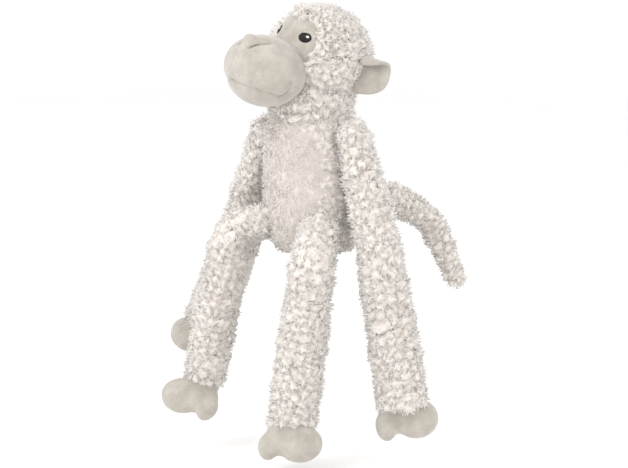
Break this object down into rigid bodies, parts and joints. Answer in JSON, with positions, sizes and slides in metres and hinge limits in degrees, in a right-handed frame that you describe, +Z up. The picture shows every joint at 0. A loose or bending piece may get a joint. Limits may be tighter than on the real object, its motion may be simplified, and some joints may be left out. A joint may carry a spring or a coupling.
{
  "type": "stuffed monkey",
  "caption": "Long-limbed stuffed monkey with curly pile fur, a short-pile muzzle, ears and paws, soft jointed arms and legs, and a tail, sitting on a flat seat.",
  "frame": {"origin": "centre of the flat seat face under the rump", "axes": "+Z up out of the seat, -Y the way the chest faces, +X its own left side"},
  "size_m": [0.3263, 0.2424, 0.3828],
  "materials": {
    "long_pile": "long curly cream sherpa pile",
    "belly_pile": "shorter cream pile",
    "short_pile": "greige short-pile velboa",
    "stuffing": "white polyester fibre fill",
    "black_thread": "black satin-stitch embroidery",
    "white_thread": "white satin-stitch embroidery",
    "seam_thread": "matched sewing thread"
  },
  "bodies": {
    "torso": {"torso_fur": "long_pile", "belly_panel": "belly_pile", "torso_stuffing": "stuffing"},
    "neck": {"neck_gather": "long_pile"},
    "head": {"head_fur": "long_pile", "face_patch": "short_pile", "head_stuffing": "stuffing", "muzzle_upper": "short_pile", "muzzle_lower": "short_pile", "muzzle_stuffing": "stuffing", "mouth_stitching": "seam_thread", "nostril_stitching": "seam_thread", "left_eye": "black_thread", "right_eye": "black_thread", "left_eye_highlight": "white_thread", "right_eye_highlight": "white_thread"},
    "left_ear": {"left_ear_front": "short_pile", "left_ear_back": "short_pile"},
    "right_ear": {"right_ear_front": "short_pile", "right_ear_back": "short_pile"},
    "tail_root": {"tail_gather": "long_pile"},
    "tail_base": {"tail_base_fur": "long_pile", "tail_base_stuffing": "stuffing"},
    "tail_middle": {"tail_middle_fur": "long_pile", "tail_middle_stuffing": "stuffing"},
    "tail_tip": {"tail_tip_fur": "long_pile", "tail_tip_stuffing": "stuffing"},
    "left_shoulder": {"left_shoulder_gather": "long_pile"},
    "left_upper_arm": {"left_upper_arm_fur": "long_pile", "left_upper_arm_stuffing": "stuffing"},
    "left_forearm": {"left_forearm_fur": "long_pile", "left_forearm_stuffing": "stuffing"},
    "left_hand": {"left_hand_palm": "short_pile", "left_hand_back": "short_pile", "left_hand_stuffing": "stuffing"},
    "left_hip": {"left_hip_gather": "long_pile"},
    "left_thigh": {"left_thigh_fur": "long_pile", "left_thigh_stuffing": "stuffing"},
    "left_shin": {"left_shin_fur": "long_pile", "left_shin_stuffing": "stuffing"},
    "left_foot": {"left_foot_sole": "short_pile", "left_foot_top": "short_pile", "left_foot_stuffing": "stuffing"},
    "right_shoulder": {"right_shoulder_gather": "long_pile"},
    "right_upper_arm": {"right_upper_arm_fur": "long_pile", "right_upper_arm_stuffing": "stuffing"},
    "right_forearm": {"right_forearm_fur": "long_pile", "right_forearm_stuffing": "stuffing"},
    "right_hand": {"right_hand_palm": "short_pile", "right_hand_back": "short_pile", "right_hand_stuffing": "stuffing"},
    "right_hip": {"right_hip_gather": "long_pile"},
    "right_thigh": {"right_thigh_fur": "long_pile", "right_thigh_stuffing": "stuffing"},
    "right_shin": {"right_shin_fur": "long_pile", "right_shin_stuffing": "stuffing"},
    "right_foot": {"right_foot_sole": "short_pile", "right_foot_top": "short_pile", "right_foot_stuffing": "stuffing"}
  },
  "joints": [
    {"name": "neck_turn", "type": "hinge", "parent": "torso", "child": "neck", "pos_m": [-0.006, -0.006, 0.1285], "axis": [0, 0, 1], "range_deg": [-40, 70]},
    {"name": "neck_nod", "type": "hinge", "parent": "neck", "child": "head", "pos_m": [-0.006, -0.006, 0.1285], "axis": [-0.9655, 0.2605, 0], "range_deg": [-12, 7]},
    {"name": "left_ear_fold", "type": "hinge", "parent": "head", "child": "left_ear", "pos_m": [0.04019, 0.00812, 0.16029], "axis": [0.2153, 0.1604, 0.9633], "range_deg": [-15, 14]},
    {"name": "left_shoulder_swing", "type": "hinge", "parent": "torso", "child": "left_shoulder", "pos_m": [0.0475, -0.007, 0.103], "axis": [-1, 0, 0], "range_deg": [-25, 95]},
    {"name": "left_shoulder_spread", "type": "hinge", "parent": "left_shoulder", "child": "left_upper_arm", "pos_m": [0.0475, -0.007, 0.103], "axis": [0, -1, 0], "range_deg": [0, 60]},
    {"name": "left_elbow", "type": "hinge", "parent": "left_upper_arm", "child": "left_forearm", "pos_m": [0.08151, -0.012, 0.00697], "axis": [-0.9891, 0, -0.1475], "range_deg": [-8, 65]},
    {"name": "left_wrist", "type": "hinge", "parent": "left_forearm", "child": "left_hand", "pos_m": [0.09976, -0.00342, -0.11538], "axis": [0.7346, 0.6648, 0.1359], "range_deg": [-25, 25]},
    {"name": "left_hip_lift", "type": "hinge", "parent": "torso", "child": "left_hip", "pos_m": [0.025, -0.022, 0.027], "axis": [-0.8752, -0.4837, 0], "range_deg": [-5, 6]},
    {"name": "left_hip_spread", "type": "hinge", "parent": "left_hip", "child": "left_thigh", "pos_m": [0.025, -0.022, 0.027], "axis": [0, 0, 1], "range_deg": [-1, 9]},
    {"name": "left_knee", "type": "hinge", "parent": "left_thigh", "child": "left_shin", "pos_m": [0.0427, -0.05402, 0.00256], "axis": [-0.8271, -0.549, 0.1204], "range_deg": [-8, 50]},
    {"name": "left_ankle", "type": "hinge", "parent": "left_shin", "child": "left_foot", "pos_m": [0.02979, -0.06593, -0.14036], "axis": [0.8498, 0.5265, 0.0248], "range_deg": [-7, 12]},
    {"name": "right_ear_fold", "type": "hinge", "parent": "head", "child": "right_ear", "pos_m": [-0.03402, 0.02815, 0.17354], "axis": [-0.2153, -0.1604, -0.9633], "range_deg": [-15, 14]},
    {"name": "right_shoulder_swing", "type": "hinge", "parent": "torso", "child": "right_shoulder", "pos_m": [-0.056, -0.008, 0.102], "axis": [-1, 0, 0], "range_deg": [-25, 95]},
    {"name": "right_shoulder_spread", "type": "hinge", "parent": "right_shoulder", "child": "right_upper_arm", "pos_m": [-0.056, -0.008, 0.102], "axis": [0, 1, 0], "range_deg": [0, 60]},
    {"name": "right_elbow", "type": "hinge", "parent": "right_upper_arm", "child": "right_forearm", "pos_m": [-0.09695, 0.00199, 0.00912], "axis": [0.4194, 0.9036, -0.0877], "range_deg": [-45, 22]},
    {"name": "right_wrist", "type": "hinge", "parent": "right_forearm", "child": "right_hand", "pos_m": [-0.16944, 0.02615, -0.08854], "axis": [-0.6729, -0.6093, 0.4195], "range_deg": [-25, 25]},
    {"name": "right_hip_lift", "type": "hinge", "parent": "torso", "child": "right_hip", "pos_m": [-0.025, -0.022, 0.027], "axis": [-0.7557, 0.6549, 0], "range_deg": [-5, 6]},
    {"name": "right_hip_spread", "type": "hinge", "parent": "right_hip", "child": "right_thigh", "pos_m": [-0.025, -0.022, 0.027], "axis": [0, 0, -1], "range_deg": [-1, 7]},
    {"name": "right_knee", "type": "hinge", "parent": "right_thigh", "child": "right_shin", "pos_m": [-0.05338, -0.05475, 0.01936], "axis": [-0.7632, 0.639, 0.0963], "range_deg": [-8, 50]},
    {"name": "right_ankle", "type": "hinge", "parent": "right_shin", "child": "right_foot", "pos_m": [-0.08038, -0.06575, -0.12166], "axis": [-0.8896, -0.3804, 0.2529], "range_deg": [-12, 5]},
    {"name": "tail_lift", "type": "hinge", "parent": "torso", "child": "tail_root", "pos_m": [0.005, 0.038, 0.035], "axis": [0.8944, -0.4472, 0], "range_deg": [-20, 10]},
    {"name": "tail_sway", "type": "hinge", "parent": "tail_root", "child": "tail_base", "pos_m": [0.005, 0.038, 0.035], "axis": [0, 0, 1], "range_deg": [-5, 16]},
    {"name": "tail_middle_curl", "type": "hinge", "parent": "tail_base", "child": "tail_middle", "pos_m": [0.024, 0.076, 0.042], "axis": [0.8508, -0.5255, 0], "range_deg": [-25, 30]},
    {"name": "tail_tip_curl", "type": "hinge", "parent": "tail_middle", "child": "tail_tip", "pos_m": [0.045, 0.11, 0.016], "axis": [0.8253, -0.5647, 0], "range_deg": [-25, 30]}
  ]
}
